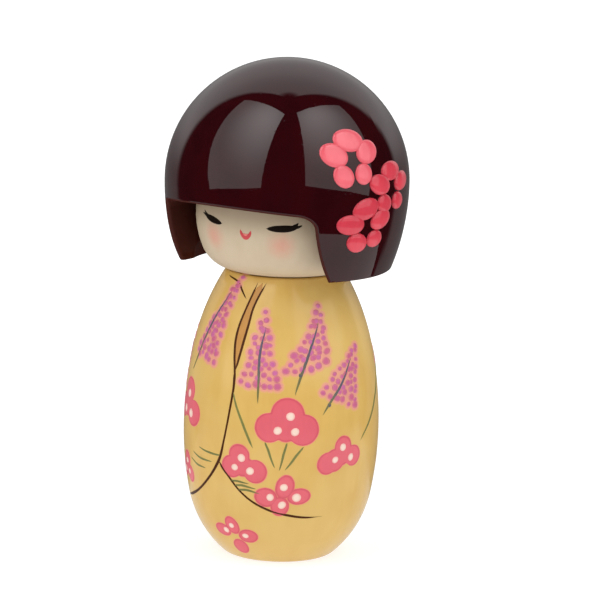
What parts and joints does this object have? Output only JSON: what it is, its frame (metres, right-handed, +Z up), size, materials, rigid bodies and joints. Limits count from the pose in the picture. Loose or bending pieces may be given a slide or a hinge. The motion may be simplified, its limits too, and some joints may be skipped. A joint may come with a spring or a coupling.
{
  "type": "kokeshi doll",
  "caption": "Turned wooden doll with an egg-shaped kimono body, a plug-in head that turns on a neck peg, a hollowed bob of hair and raised blossoms.",
  "frame": {"origin": "centre of the flat underside of the body", "axes": "+Z up through the head; the face looks towards -Y; +X is the doll's own left"},
  "size_m": [0.0691, 0.0682, 0.14],
  "materials": {
    "kimono_paint": "warm yellow ground paint under a clear gloss varnish",
    "hair_lacquer": "dark maroon gloss lacquer, browner on the cut edges",
    "skin_paint": "cream paint under a satin varnish",
    "bare_wood": "plain turned hardwood",
    "petal_enamel": "coral pink gloss enamel",
    "motif_pink": "pink brushed paint with a lighter rim",
    "motif_white": "white paint dots",
    "wisteria_paint": "mauve paint dots",
    "leaf_green": "thin green brush lines",
    "ink_line": "near-black brush lines",
    "collar_ochre": "ochre collar band",
    "lip_red": "small red mouth"
  },
  "bodies": {
    "torso": {"kimono_body": "kimono_paint"},
    "head": {"head": "skin_paint", "neck_peg": "bare_wood", "hair": "hair_lacquer", "hair_peg": "bare_wood", "upper_blossom_petal_1": "petal_enamel", "upper_blossom_petal_2": "petal_enamel", "upper_blossom_petal_3": "petal_enamel", "upper_blossom_petal_4": "petal_enamel", "upper_blossom_petal_5": "petal_enamel", "side_blossom_petal_1": "petal_enamel", "side_blossom_petal_2": "petal_enamel", "side_blossom_petal_3": "petal_enamel", "side_blossom_petal_4": "petal_enamel", "side_blossom_petal_5": "petal_enamel", "lower_blossom_petal_1": "petal_enamel", "lower_blossom_petal_2": "petal_enamel", "lower_blossom_petal_3": "petal_enamel", "lower_blossom_petal_4": "petal_enamel", "lower_blossom_petal_5": "petal_enamel"}
  },
  "joints": [
    {"name": "head_turn", "type": "hinge", "parent": "torso", "child": "head", "pos_m": [0, 0, 0.081], "axis": [0, 0, 1], "continuous": true}
  ]
}
